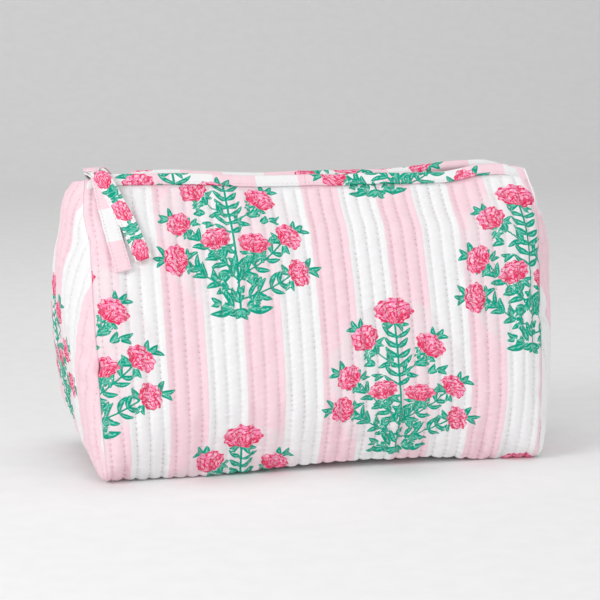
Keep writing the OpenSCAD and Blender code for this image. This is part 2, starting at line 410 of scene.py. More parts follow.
def print_fields(u, v, spots, design=None):
    """At cloth places u, v: how deep they lie in blossoms and in leaves, with places on them, and the pale ground."""
    shape = u.shape
    u, v = u.ravel(), v.ravel()
    flower, leaf = (np.tile([OUTSIDE, 0, 0], (u.size, 1)) for _ in range(2))
    ground = np.zeros(u.size)
    blossoms, leaves, stems = design or SPRIG
    for cx, cy in spots:
        x0, y0 = u - cx, v - cy
        near = np.flatnonzero((np.abs(x0) < SPRIG_HALF) & (y0 < SPRIG_TOP) & (y0 > SPRIG_TIP))
        if not near.size:
            continue
        x, y = x0[near], y0[near]
        oval = np.hypot(x / 43, (y + 45) / 54)
        wide = np.clip(1.12 - oval + 0.06 * lattice_noise(x / 9 + 40, y / 9 + 70, 3), 0, 0.3) / 0.3
        ground[near] = np.maximum(ground[near], wide)
        for k, (bx, by, tilt, rx, ry) in enumerate(blossoms):
            p, q = turned(x - bx, y - by, tilt - 90)
            p, q = p / rx, q / ry
            a = np.arctan2(q, p)
            edge = 1 + 0.055 * np.cos(11 * a + k) + 0.04 * np.cos(5 * a + 2 * k) - 0.14 * np.clip(-np.sin(a), 0, 1)
            put_deepest(flower, near, (edge - np.hypot(p, q)) * ry, p + 4 * (k + 1), q)
        second = np.full(near.size, OUTSIDE)
        for k, (lx, ly, heading, length, width) in enumerate(leaves):
            p, q = turned(x - lx, y - ly, heading)
            t = np.clip(p / length, 0, 1)
            q = q - 0.09 * length * np.sin(math.pi * t) * (1 if k % 2 else -1)
            half = width / 2 * np.sin(math.pi * t ** 0.8) ** 0.75 + 0.1
            field = np.where((p >= 0) & (p <= length), half - np.abs(q), -np.hypot(np.maximum(-p, p - length), q))
            second = np.maximum(second, np.minimum(leaf[near, 0], field))
            put_deepest(leaf, near, field, p + 17 * k, q / np.maximum(half, 0.3))
        leaf[near, 0] = np.minimum(leaf[near, 0], leaf[near, 0] - second - 0.17)
        for line, half in stems:
            for a, b in zip(line[:-1], line[1:]):
                d = b - a
                t = np.clip(((x - a[0]) * d[0] + (y - a[1]) * d[1]) / (d @ d), 0, 1)
                field = half - np.hypot(x - a[0] - t * d[0], y - a[1] - t * d[1])
                put_deepest(leaf, near, field, t * 5, np.ones(near.size))
    return flower.reshape(shape + (3,)), leaf.reshape(shape + (3,)), ground.reshape(shape)


# Sprigs stand in columns four stripes apart, each column a little higher than the one to its left
COLUMN, REPEAT, COLUMN_RISE, FIRST_TOP = 4 * STRIPE, 176.0, 74.5, 104.0
# How far the cloth of a column is pulled aside and up
SLIP = {-2: (-3.0, 1.5), -1: (-2.5, -2.5), 1: (-7.0, -4.0)}


def lattice_spots(x_ref, v_ref=FIRST_TOP):
    spots = []
    for k in range(-3, 4):
        top = (v_ref + COLUMN_RISE * k) % REPEAT
        du, dv = SLIP.get(k, (0.0, 0.0))
        spots += [(x_ref + COLUMN * k + du, top + REPEAT * j + dv) for j in (-1, 0, 1)]
    return spots


# ---------------- meshes
def new_mesh(name, verts, faces, attributes=None, flat_from=None, normals=None):
    """A piece from points in mm. attributes maps a name to one value or one vector for each point."""
    mesh = bpy.data.meshes.new(name)
    mesh.from_pydata((np.asarray(verts) * MM).tolist(), [], faces)
    mesh.polygons.foreach_set("use_smooth", [flat_from is None or i < flat_from for i in range(len(faces))])
    for key, value in (attributes or {}).items():
        value = np.asarray(value, np.float32)
        kind = "FLOAT_VECTOR" if value.ndim == 2 else "FLOAT"
        layer = mesh.attributes.new(key, kind, "POINT")
        layer.data.foreach_set("vector" if value.ndim == 2 else "value", value.ravel())
    mesh.validate()
    mesh.calc_loop_triangles()
    tri = np.zeros(len(mesh.loop_triangles) * 3, np.int64)
    mesh.loop_triangles.foreach_get("vertices", tri)
    a, b, c = np.moveaxis(np.asarray(verts)[tri.reshape(-1, 3)], 1, 0)
    if (a * np.cross(b, c)).sum() < 0:
        mesh.flip_normals()
    if normals is not None:
        mesh.normals_split_custom_set_from_vertices(normals.tolist())
    ob = bpy.data.objects.new(name, mesh)
    bpy.context.scene.collection.objects.link(ob)
    return ob


def quads(rows, cols, first=0, flip=False, wrap=False):
    """Faces between the rows of a grid of points, from point number first on."""
    i = first + np.arange(rows - 1)[:, None] * cols
    j = np.arange(cols if wrap else cols - 1)[None]
    k = (j + 1) % cols
    a, b, c, d = i + j, i + k, i + cols + k, i + cols + j
    return np.stack([a, b, c, d] if flip else [a, d, c, b], -1).reshape(-1, 4).tolist()


def rod_faces(rows, cols, first=0):
    """Faces round a rod and over its two ends, from point number first on."""
    ring = list(range(first, first + cols))
    return quads(rows, cols, first, wrap=True) + [ring, [i + (rows - 1) * cols for i in ring][::-1]]


def strip_faces(rows, cols, flip=False):
    """Faces round a flat closed strip and over its two ends, and how many go round it."""
    faces = quads(rows, cols, 0, flip, wrap=True)
    sides = len(faces)
    for first, turn in ((0, flip), ((rows - 1) * cols, not flip)):
        for j in range(cols // 2 - 1):
            q = [first + j, first + j + 1, first + cols - 2 - j, first + cols - 1 - j]
            faces.append(q[::-1] if turn else q)
    return faces, sides


INNER = 4        # a sheet's inner face has one point for each INNER of the outer face
FINE = 0.8       # mm between the points of a quilted face


def multiple(n):
    return int(round(n / INNER)) * INNER + 1


def thick_sheet(name, outer, inward, thickness, attributes, flip=False, facing=None):
    """A sheet with a fine outer face, a plain inner face and a closed edge. Sizes are multiples of INNER."""
    ni, nj = outer.shape[:2]
    inner = (outer + inward * thickness)[::INNER, ::INNER]
    mi, mj = inner.shape[:2]
    faces = quads(ni, nj, 0, flip) + quads(mi, mj, ni * nj, not flip)
    smooth_faces = len(faces)

    def rim(outer_ids, inner_ids, turn):
        for k in range(len(inner_ids) - 1):
            ring = list(outer_ids[k * INNER:(k + 1) * INNER + 1]) + [inner_ids[k + 1], inner_ids[k]]
            faces.append([int(r) for r in (ring if turn else ring[::-1])])

    o = np.arange(ni * nj).reshape(ni, nj)
    n = np.arange(mi * mj).reshape(mi, mj) + ni * nj
    rim(o[:, 0], n[:, 0], flip)
    rim(o[:, -1], n[:, -1], not flip)
    rim(o[0], n[0], not flip)
    rim(o[-1], n[-1], flip)
    def both(outer_values, inner_values):
        pair = outer_values, inner_values[::INNER, ::INNER]
        return np.concatenate([a.reshape((-1,) + a.shape[2:]) for a in pair])

    values = {k: both(a, a) for k, a in attributes.items()}
    verts = np.concatenate([outer.reshape(-1, 3), inner.reshape(-1, 3)])
    if facing is not None:
        facing = both(facing, -facing)
    return new_mesh(name, verts, faces, values, smooth_faces, facing)


def quilted(u, v, seed):
    """Height of the quilting at cloth places u, v, with the distance from its stitching and the stitches' phase."""
    t = (u - STITCH_X) / CHANNEL
    line = np.round(t)
    off = np.abs(t - line) * 2
    wander = 0.05 * lattice_noise(v / 17 + 9 * line, line * 3.1 + 5, seed + 1)
    off = np.clip(np.abs(off + wander), 0, 1)
    away = off * CHANNEL / 2
    puff = PUFF * (1 - (1 - np.minimum(off * 1.15, 1)) ** 2.1)
    plump = 1 + 0.16 * lattice_noise(v / 21, np.floor(t) * 1.7, seed + 2)
    phase = v / STITCH + 0.37 * line
    needle = np.exp(-(away / 0.85) ** 2) * (0.5 + 0.5 * np.cos(2 * math.pi * phase)) ** 2
    pucker = np.exp(-(away / 2.2) ** 2) * lattice_noise(v / 1.9 + 11 * line, line * 2.3, seed + 3)
    cross = lattice_noise(u / 6.5, v / 2.9, seed + 4) * (0.5 + 0.5 * lattice_noise(u / 31 + 5, v / 23, seed + 6))
    wave = lattice_noise(u / 38, v / 30, seed + 5) * 0.55 + lattice_noise(u / 15, v / 19, seed + 7) * 0.22
    tuck = 0.75 + 0.5 * lattice_noise(phase * 0.9, line * 4.1, seed + 8)
    rib = np.exp(-(away / 2.6) ** 2) * np.cos(2 * math.pi * phase) * tuck
    height = puff * plump - 0.34 * needle - 0.2 * rib + 0.2 * pucker + 0.42 * cross + wave
    return height, away, phase


def seam_dip(from_seam, v):
    """How far the cloth is drawn in beside a side seam, less and less towards the bound edge."""
    return -1.4 * np.exp(-(from_seam / 2.0) ** 2) * (1 - smooth(v, OUTLINE_L - 75, OUTLINE_L - 12))


def cloth_attributes(u, v, off, phase, spots):
    flower, leaf, ground = print_fields(u, v, spots)
    return {"cloth": np.stack([u, v, phase], -1), "stitch": off, "flower": flower, "leaf": leaf, "ground": ground}


# A quilted wall: its outer face, its bare grid with that grid's normals, its cloth attributes, and its first row
# above the rim
Wall = namedtuple("Wall", "bed out fields first fine")


def wall_pieces(name, grid, seed, spots, u_sign):
    """The quilted wall in two halves that meet on a line of stitching, from the rim up to the bound edge."""
    nu, nv = multiple(2 * HALF_W / FINE), multiple(OUTLINE_L / FINE)
    fine = refine(grid, nu, nv)
    split = multiple((SPLIT_X * u_sign + HALF_W) / (2 * HALF_W) * (nu - 1)) - 1
    first = int(round((RIM_L / OUTLINE_L) * (nv - 1) / INNER)) * INNER
    U, V = np.meshgrid(np.linspace(-HALF_W, HALF_W, nu) * u_sign, np.linspace(0, OUTLINE_L, nv), indexing="ij")
    front = name == "front"
    out = normals_of(fine, 1 if front else -1)
    height, off, phase = quilted(U, V, seed)
    from_seam = HALF_W - np.abs(U)
    fade = np.minimum(smooth(from_seam, 0, 3.5), 1 - smooth(V, OUTLINE_L - 11, OUTLINE_L - 6.5))
    bed = fine + out * (height * fade + seam_dip(from_seam, V) - PUFF * 0.45)[..., None]
    facing = normals_of(bed, 1 if front else -1)
    fields = cloth_attributes(U, V, off, phase, spots)
    made = []
    for label, columns in (("left", slice(0, split + 1)), ("right", slice(split, nu))):
        cut = columns, slice(first, nv)
        made.append(thick_sheet(f"{name}_quilt_{label}", bed[cut], -out[cut], QUILT_T,
                                {k: a[cut] for k, a in fields.items()}, front, facing[cut]))
    return made, Wall(bed, out, fields, first, fine)


def open_with(ob):
    """Bakes a piece of a wall's left or right half into its points where it stands."""
    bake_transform(ob)


# ---------------- materials
def srgb(r, g, b):
    def linear(c):
        c /= 255
        return c / 12.92 if c <= 0.04045 else ((c + 0.055) / 1.055) ** 2.4
    return (linear(r), linear(g), linear(b), 1)


def darker(colour, share):
    return tuple(c * share for c in colour[:3]) + (1,)


PINK, WHITE = srgb(247, 213, 223), srgb(242, 242, 243)
GROUND, TEAL, MINT = srgb(236, 228, 231), srgb(0, 160, 134), srgb(120, 208, 184)
BLOSSOM, CRIMSON, HOLE = srgb(252, 150, 190), srgb(226, 44, 92), srgb(168, 120, 138)


class Nodes:
    """Short calls for building a material's nodes."""

    def __init__(self, name):
        self.mat = bpy.data.materials.new(name)
        self.mat.use_nodes = True
        self.tree = self.mat.node_tree
        self.tree.nodes.clear()
        self.out = self.tree.nodes.new("ShaderNodeOutputMaterial")

    def link(self, a, b):
        self.tree.links.new(a, b)

    def put(self, socket, value):
        if hasattr(value, "links"):
            self.link(value, socket)
        else:
            socket.default_value = value

    def add(self, kind, **settings):
        n = self.tree.nodes.new(kind)
        for k, v in settings.items():
            setattr(n, k, v)
        return n

    def maths(self, op, a, b=0.0, c=0.0):
        n = self.add("ShaderNodeMath", operation=op)
        for socket, value in zip(n.inputs, (a, b, c)):
            self.put(socket, value)
        return n.outputs[0]

    def times(self, a, b):
        return self.maths("MULTIPLY", a, b)

    def plus(self, a, b):
        return self.maths("ADD", a, b)

    def less(self, a, b):
        return self.maths("SUBTRACT", a, b)

    def zigzag(self, value):
        """0.5 at whole numbers, falling to 0 halfway between them."""
        return self.maths("ABSOLUTE", self.less(self.maths("FRACT", value), 0.5))

    def ramp(self, value, low, high, start=0.0, end=1.0):
        n = self.add("ShaderNodeMapRange", interpolation_type="SMOOTHSTEP")
        for key, v in zip(("Value", "From Min", "From Max", "To Min", "To Max"), (value, low, high, start, end)):
            self.put(n.inputs[key], v)
        return n.outputs["Result"]

    def mix(self, factor, a, b):
        n = self.add("ShaderNodeMix", data_type="RGBA")
        self.put(n.inputs["Factor"], factor)
        self.put(n.inputs[6], a)
        self.put(n.inputs[7], b)
        return n.outputs[2]

    def place(self):
        """Places in the object's own coordinates, in m."""
        return self.add("ShaderNodeTexCoord").outputs["Object"]

    def attribute(self, name):
        return self.add("ShaderNodeAttribute", attribute_name=name)

    def split(self, vector):
        n = self.add("ShaderNodeSeparateXYZ")
        self.link(vector, n.inputs[0])
        return n.outputs

    def join(self, x, y, z=0.0):
        n = self.add("ShaderNodeCombineXYZ")
        for socket, value in zip(n.inputs, (x, y, z)):
            self.put(socket, value)
        return n.outputs[0]

    def noise(self, vector, scale, detail=2.0, rough=0.5, output=0):
        n = self.add("ShaderNodeTexNoise")
        self.link(vector, n.inputs["Vector"])
        n.inputs["Scale"].default_value = scale
        n.inputs["Detail"].default_value = detail
        n.inputs["Roughness"].default_value = rough
        return n.outputs[output]

    def bump(self, height, strength, distance, normal=None):
        n = self.add("ShaderNodeBump")
        n.inputs["Strength"].default_value = strength
        n.inputs["Distance"].default_value = distance
        self.put(n.inputs["Height"], height)
        if normal is not None:
            self.link(normal, n.inputs["Normal"])
        return n.outputs[0]

    def finish(self, colour, rough, normal=None, sheen=0.0, metal=0.0, specular=0.3):
        b = self.add("ShaderNodeBsdfPrincipled")
        self.put(b.inputs["Base Color"], colour)
        self.put(b.inputs["Roughness"], rough)
        b.inputs["Metallic"].default_value = metal
        b.inputs["Specular IOR Level"].default_value = specular
        b.inputs["Sheen Weight"].default_value = sheen
        b.inputs["Sheen Roughness"].default_value = 0.5
        if normal is not None:
            self.link(normal, b.inputs["Normal"])
        self.link(b.outputs[0], self.out.inputs[0])
        return self.mat


def weave(n, place, fine=0.42):
    """Height of a plain weave whose threads are fine mm apart, from cloth coordinates in mm."""
    x, y, _ = n.split(place)
    turn = 2 * math.pi / (2 * fine)
    a = n.maths("SINE", n.times(x, turn))
    b = n.maths("SINE", n.times(y, turn))
    slub = n.noise(place, 0.9, 3)
    return n.plus(n.times(a, b), n.times(slub, 1.2))


def printed_cotton(name):
    """Striped cotton with the sprig print, which reads its places from the cloth's own coordinates."""
    n = Nodes(name)
    place = n.attribute("cloth").outputs["Vector"]
    u, v, phase = n.split(place)
    flat = n.join(u, v)
    wobble = n.times(n.less(n.noise(flat, 0.35, 2), 0.5), 1.1)
    run = n.maths("DIVIDE", n.less(n.plus(u, wobble), STRIPE_X), 2 * STRIPE)
    saw = n.zigzag(n.plus(run, 0.25))
    white = n.ramp(saw, 0.245, 0.255)
    mottle = n.noise(flat, 0.12, 4, 0.6)
    pink = n.mix(n.ramp(mottle, 0.3, 0.7), PINK, srgb(248, 218, 226))
    colour = n.mix(white, pink, WHITE)

    flower = n.split(n.attribute("flower").outputs["Vector"])
    leaf = n.split(n.attribute("leaf").outputs["Vector"])
    ragged = n.times(n.less(n.noise(flat, 1.1, 2), 0.5), 0.9)
    ground = n.attribute("ground").outputs["Fac"]
    colour = n.mix(n.times(n.ramp(ground, 0.25, 0.6), 0.6), colour, GROUND)

    on_leaf = n.ramp(n.plus(leaf[0], n.times(ragged, 0.35)), -0.05, 0.15)
    streak = n.noise(n.join(n.times(leaf[1], 0.3), n.times(leaf[2], 0.8)), 1.6, 2)
    core = n.times(n.ramp(streak, 0.46, 0.5), n.ramp(n.maths("ABSOLUTE", leaf[2]), 0.36, 0.14))
    colour = n.mix(on_leaf, colour, n.mix(core, TEAL, MINT))

    turn = n.less(n.maths("FRACT", n.plus(n.maths("DIVIDE", flower[1], 4), 0.5)), 0.5)
    across = n.times(turn, 4)
    rise = n.plus(flower[2], 1.05)
    fan = n.maths("ARCTAN2", across, rise)
    reach = n.maths("SQRT", n.plus(n.times(across, across), n.times(rise, rise)))
    seed = n.times(n.less(flower[1], across), 3.7)
    stir = n.noise(n.join(fan, reach, seed), 2.6, 2)
    lobes = n.maths("COSINE", n.plus(n.times(fan, 9.5), n.times(stir, 9)))
    rows = n.plus(n.times(reach, 2.7), n.times(lobes, 0.46))
    rows = n.plus(rows, n.times(stir, 1.4))
    crest = n.zigzag(rows)
    lines = n.ramp(crest, 0.33, 0.40)

    def patches(along, out, scale, low, high):
        """Noise drawn out along the petals: along scales it round the fan, and out is how far it runs."""
        return n.ramp(n.noise(n.join(n.times(fan, along), out, seed), scale, 2), low, high)

    strokes = patches(6.5, n.times(reach, 1.5), 1.7, 0.55, 0.60)
    lines = n.maths("MAXIMUM", lines, n.times(strokes, 0.85))
    dabs = patches(5, reach, 1.6, 0.46, 0.54)
    low = n.ramp(flower[2], 0.6, -0.5)
    red = n.maths("MAXIMUM", lines, n.times(dabs, low))
    rim = n.ramp(n.plus(flower[0], ragged), 0.45, 0.1)
    red = n.maths("MAXIMUM", red, n.times(rim, 0.45))
    gleam = patches(4.0, n.times(reach, 3.0), 1.4, 0.48, 0.56)
    petal = n.mix(gleam, BLOSSOM, srgb(254, 200, 220))
    on_flower = n.ramp(n.plus(flower[0], n.times(ragged, 0.8)), -0.1, 0.18)
    colour = n.mix(on_flower, colour, n.mix(red, petal, CRIMSON))

    off = n.attribute("stitch").outputs["Fac"]
    hole = n.times(n.ramp(n.zigzag(n.plus(phase, 0.5)), 0.13, 0.05), n.ramp(off, 0.42, 0.15))
    colour = n.mix(n.times(hole, 0.6), colour, HOLE)
    # Painted shade: within 1.2 mm of each line of stitching the cloth is darkened a little towards a dusky mauve,
    # standing in for the shade in the valley between two channels
    colour = n.mix(n.ramp(off, 1.2, 0.0, 0.0, 0.1), colour, srgb(196, 160, 174))
    fibre = n.noise(flat, 3.2, 3, 0.65)
    shade = n.mix(n.ramp(fibre, 0.25, 0.75), (0.93, 0.93, 0.93, 1), (1, 1, 1, 1))
    blend = n.add("ShaderNodeMix", data_type="RGBA", blend_type="MULTIPLY")
    blend.inputs["Factor"].default_value = 1
    n.link(colour, blend.inputs[6])
    n.link(shade, blend.inputs[7])
    bumps = n.bump(weave(n, flat), 0.35, 0.00012)
    rough = n.ramp(fibre, 0.2, 0.8, 0.78, 0.94)
    return n.finish(blend.outputs[2], rough, bumps, sheen=0.04, specular=0.18)


def plain_cotton(name, colour, scale=1.0):
    """Unprinted cloth with a weave, from the object's own coordinates."""
    n = Nodes(name)
    up = n.add("ShaderNodeVectorMath", operation="SCALE")
    n.link(n.place(), up.inputs[0])
    up.inputs["Scale"].default_value = 1000 * scale
    place = up.outputs[0]
    mottle = n.noise(place, 0.15, 4, 0.6)
    shade = n.mix(n.ramp(mottle, 0.3, 0.7), darker(colour, 0.9), colour)
    x, y, z = n.split(place)
    bumps = n.bump(weave(n, n.join(n.plus(x, y), z)), 0.4, 0.00015)
    return n.finish(shade, n.ramp(mottle, 0.2, 0.8, 0.8, 0.95), bumps, sheen=0.15)


def satin_metal(name, colour):
    n = Nodes(name)
    where = n.place()
    grain = n.noise(where, 900, 4, 0.6)
    smudge = n.noise(where, 140, 3, 0.55)
    rough = n.ramp(smudge, 0.3, 0.7, 0.22, 0.42)
    tint = n.mix(n.ramp(smudge, 0.35, 0.7), colour, darker(colour, 0.82))
    return n.finish(tint, rough, n.bump(grain, 0.12, 0.0001), metal=1.0, specular=0.5)


def nylon(name, colour):
    n = Nodes(name)
    where = n.place()
    grain = n.noise(where, 700, 3, 0.6)
    tint = n.mix(n.ramp(grain, 0.3, 0.7), colour, darker(colour, 0.9))
    return n.finish(tint, n.ramp(grain, 0.3, 0.7, 0.32, 0.5), n.bump(grain, 0.15, 0.0001), specular=0.5)


QUILT_MAT = printed_cotton("quilted_print")
LINING_MAT = plain_cotton("lining_cotton", srgb(244, 242, 240))
TAPE_MAT = plain_cotton("zip_tape_cloth", srgb(240, 232, 232), 1.6)
COIL_MAT = nylon("zip_nylon", srgb(236, 228, 228))
METAL_MAT = satin_metal("zip_nickel", srgb(214, 210, 206))
THREAD_MAT = plain_cotton("thread", srgb(246, 160, 184), 3.0)


def dress(ob, mat):
    ob.data.materials.clear()
    ob.data.materials.append(mat)
    return ob


# ---------------- quilted walls, base and gussets
front_spots = lattice_spots(STRIPE_X)
back_spots = lattice_spots(STRIPE_X - COLUMN / 2, 60.0)
walls = {}
for name, grid, seed, spots, u_sign in (("front", front_c, 11, front_spots, 1), ("back", back_c, 51, back_spots, -1)):
    pieces, walls[name] = wall_pieces(name, grid, seed, spots, u_sign)
    for ob, side in zip(pieces, (-1, 1)):
        dress(ob, QUILT_MAT)
        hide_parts(f"{name}_panel")
        open_with(ob)


def base_piece():
    """The quilted base with both rims, which the walls' cloth runs into without a seam."""
    nb, nx = multiple(2 * FLOOR_Y / 1.6), multiple(2 * HALF_W / FINE)
    floor = refine(base_c, nx, nb)
    k = np.linspace(-FLOOR_Y, FLOOR_Y, nb)
    U, V = np.meshgrid(np.linspace(-HALF_W, HALF_W, nx), -k - FLOOR_Y, indexing="ij")
    _, off, phase = quilted(U, V, 11)
    floor[..., 2] += 0.35 * np.exp(-off / 1.2)

    def joined(front, middle, back):
        """The front rim, the floor and the back rim side by side, in as many rows as thick_sheet takes."""
        front, back = front[:, :walls["front"].first + 1], back[:, :walls["back"].first + 1]
        whole = np.concatenate([front[:, ::-1], middle[:, 1:-1], back], 1)
        count = whole.shape[1]
        spare = (count - 1) % INNER
        return whole[:, np.r_[0:count // 2, count // 2 + spare:count]]

    front, back = walls["front"], walls["back"]
    bed = joined(front.bed, floor, back.bed)
    bed[..., 2] = np.maximum(bed[..., 2], 0.02)
    values = {key: joined(front.fields[key], a, back.fields[key])
              for key, a in cloth_attributes(U, V, off, phase, front_spots).items()}
    return thick_sheet("base_quilt", bed, -normals_of(bed, -1), QUILT_T, values, flip=True)


base = dress(base_piece(), QUILT_MAT)
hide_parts("base_panel")
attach(base, "carcass")


def gusset_piece(name, grid, side, seed):
    """A padded end between the walls' side seams."""
    ny, nv = multiple(150 / 1.0), multiple(OUTLINE_L / FINE)
    fine = refine(grid, ny, nv)
    V = np.broadcast_to(np.linspace(0, OUTLINE_L, nv)[None], (ny, nv))
    U = fine[..., 1] + STRIPE_X + (70.0 if side < 0 else 50.0)
    share = np.linspace(-1, 1, ny)[:, None]
    out = normals_of(fine, 1)
    out *= np.sign((out[..., 0] * side).mean())
    height, off, phase = quilted(U, V, seed)
    from_seam = (1 - np.abs(share)) * np.abs(fine[0, :, 1])[None]
    fade = smooth(from_seam, 0, 4) * smooth(V, 0, 4) * (1 - 0.9 * smooth(V, OUTLINE_L - 9, OUTLINE_L - 2))
    bed = fine + out * (height * fade + seam_dip(from_seam, V) - PUFF * 0.3)[..., None]
    bed[..., 0] += side * 0.45
    inward = -out
    inward[..., 1] -= np.sign(share) * 0.7 * smooth(np.abs(share), 0.8, 1)
    fields = cloth_attributes(U, V, off, phase, [(STRIPE_X + 76, 122.0)])
    return thick_sheet(name, bed, normalized(inward), QUILT_T, fields, flip=side > 0), out, fine


gussets = {}
for side, name, grid in ((-1, "left", left_c), (1, "right", right_c)):
    ob, *gussets[name] = gusset_piece(f"{name}_gusset_quilt", grid, side, 80 + side)
    dress(ob, QUILT_MAT)
    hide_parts(f"{name}_gusset")
    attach(ob, "carcass")


# ---------------- strips: bindings, tapes and the pull
def rounded(w, t, n=28, power=3.0):
    """A closed section w wide and t thick, with round edges."""
    a = np.linspace(0, 2 * math.pi, n, endpoint=False)
    pair = (w, np.cos(a)), (t, np.sin(a))
    return np.stack([size / 2 * np.sign(c) * np.abs(c) ** (2 / power) for size, c in pair], -1)


def edge_frame(name, xs):
    """Places along a wall's top edge, with the directions up the wall and into the bag."""
    fine = walls[name].fine
    sign = -1 if name == "front" else 1
    top = np.stack([xs, np.full_like(xs, sign * TOP_Y), WALL_TOP + top_lift(xs, name == "back")], -1)
    low = int(round((1 - 8.0 / OUTLINE_L) * (fine.shape[1] - 1)))
    edge, below = fine[:, -1], fine[:, low]
    lean = np.interp(xs, edge[:, 0], sign * (below[:, 1] - edge[:, 1]) / (edge[:, 2] - below[:, 2]))
    lean = np.convolve(np.pad(lean, 12, "edge"), np.ones(25) / 25, "valid")
    up = normalized(np.stack([0 * xs, -sign * lean, np.ones(len(xs))], -1))
    inward = np.stack([0 * xs, -sign * up[:, 2], -np.abs(up[:, 1])], -1)
    return top, up, inward


FOLD_W, FOLD_H, FOLD_T, FOLD_UP = 6.6, 8.4, 0.9, 1.5
FOLD_FOOT = FOLD_H - 1.2     # from the middle of the fold down to the strip's foot
SEWN_UP = 1.5                # from the foot up to the line of stitches
BIND_STITCH = 2.9
BIND_PAST = 0.8              # how far a bound edge runs past the side seam


def fold_section(n_leg=13, n_arc=9):
    """A strip folded over an edge, as [up, inward] in mm from the middle of its fold, closed round its thickness."""
    def line(r, end):
        leg = np.linspace(end, 0, n_leg, endpoint=False)
        a = np.linspace(0, math.pi, n_arc)
        outer = np.c_[leg, np.full(n_leg, -r)]
        arc = np.c_[np.sin(a) * r * 0.55, -np.cos(a) * r]
        return np.r_[outer, arc, outer[::-1] * [1, -1]]
    return line(FOLD_W / 2, -FOLD_FOOT), line(FOLD_W / 2 - FOLD_T, -FOLD_FOOT)


def binding_piece(wall, lo, hi, label, shift):
    """A printed strip folded over a wall's top edge, with a line of stitches along its foot."""
    xs = np.linspace(lo, hi, int((hi - lo) / 0.8))
    top, up, inward = edge_frame(wall, xs)
    wave = 0.45 * lattice_noise(xs / 21, shift, 5) + 0.22 * lattice_noise(xs / 7, shift, 6)
    centre = top + inward * 2.25 + up * (FOLD_UP - 1.0 + wave)[:, None]
    outside, inside = fold_section()
    section = np.r_[outside, inside[::-1]]
    run = run_along(outside)
    from_foot = section[:, 0] + FOLD_FOOT
    from_sewing = from_foot - SEWN_UP
    beat = 0.55 + 0.45 * np.cos(2 * math.pi * xs / BIND_STITCH)
    plump = 0.16 * lattice_noise(xs / 5, shift + 3, 8) + 0.1 * lattice_noise(xs / 2.2, shift + 9, 9)
    press = 0.3 * np.exp(-(from_sewing / 0.75) ** 2) * beat[:, None] - plump[:, None]
    tuck = np.sqrt(np.clip(1 - ((np.abs(xs) - HALF_W + 11) / 11.9).clip(0) ** 2, 0.04, 1))[:, None]
    high = from_foot * (0.3 + 0.7 * tuck) - FOLD_FOOT
    deep = (section[:, 1] - np.sign(section[:, 1]) * press) * (0.45 + 0.55 * tuck)
    verts = centre[:, None] + up[:, None] * high[..., None] + inward[:, None] * deep[..., None]
    u, v, off, phase = (np.broadcast_to(a, high.shape).ravel() for a in (
        (xs * 0.86 + shift)[:, None], np.r_[run, run[::-1]] + 60 + shift, np.abs(from_sewing),
        (xs / BIND_STITCH)[:, None]))
    values = cloth_attributes(u, v, off, phase, [(STRIPE_X + 8, 131.0), (STRIPE_X - 118, 76.0)])
    values["ground"] = np.zeros(u.size)
    faces, sides = strip_faces(len(xs), len(section), wall == "back")
    ob = new_mesh(f"{wall}_binding_{label}", verts.reshape(-1, 3), faces, values, sides)
    return dress(ob, QUILT_MAT)


def halves(wall, left, right):
    """The two halves of a wall's pieces: their name, side and ends, and the place of the cut between them."""
    cut = SPLIT_X if wall == "front" else -SPLIT_X
    return ("left", -1, left, cut, cut), ("right", 1, cut, right, cut)


for wall, shift in (("front", 0.0), ("back", 14.0)):
    for label, side, lo, hi, cut in halves(wall, -HALF_W - BIND_PAST, HALF_W + BIND_PAST):
        ob = binding_piece(wall, lo, hi, label, shift)
        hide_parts(f"{wall}_binding")
        open_with(ob)


# ---------------- linings and the bindings inside the side seams
LINING_T = 0.6
ZIP_LOW = box_mm("slider_body")[0][2]


def even(grid, step=4.0):
    """A surface with points about step mm apart, in numbers that thick_sheet takes."""
    nu = multiple(length_of(grid[:, grid.shape[1] // 2]) / step)
    nv = multiple(length_of(grid[grid.shape[0] // 2]) / step)
    return refine(grid, nu, nv)


def lining_piece(name, surface, out, depth, flip, node, seed):
    """Thin cloth that hangs a little loose inside a padded panel."""
    g, o = even(surface - out * depth), normalized(even(out))
    i, j = np.meshgrid(np.arange(g.shape[0]), np.arange(g.shape[1]), indexing="ij")
    g = g - o * (0.35 + 0.35 * lattice_noise(i / 5, j / 4, seed))[..., None]
    ob = thick_sheet(name, g, -o, LINING_T, {}, flip)
    dress(ob, LINING_MAT)
    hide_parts(node)
    return ob, (length_of(g[:, g.shape[1] // 2]) * MM, length_of(g[g.shape[0] // 2]) * MM)


IN_DEPTH = 5.0
for wall in ("front", "back"):
    _, out, _, first, fine = walls[wall]
    x = fine[:, fine.shape[1] // 2, 0]
    for k, (label, side, lo, hi, cut) in enumerate(halves(wall, 4.5 - HALF_W, HALF_W - 4.5)):
        rows = (x > lo) & (x <= cut + 0.4) if side < 0 else (x >= cut - 0.4) & (x < hi)
        ob, flat = lining_piece(f"{wall}_lining_{label}", fine[rows][:, first + 6:-3], out[rows][:, first + 6:-3],
                                IN_DEPTH, wall == "front", f"{wall}_lining", 30 + k)
        open_with(ob)
        strip = (np.abs(x) > HALF_W - 17.5) & (np.abs(x) < HALF_W - 3) & (np.sign(x) == side)
        near, outward = fine[strip][:, first + 8:-8], out[strip][:, first + 8:-8]
        g = even(near - outward * (IN_DEPTH + 1.6), 3.0)
        ob = thick_sheet(f"{label}_seam_binding_{wall}", g, -refine(outward, *g.shape[:2]), 1.3, {}, wall == "front")
        dress(ob, TAPE_MAT)
        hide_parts(f"{label}_seam_binding")
        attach(ob, "carcass")

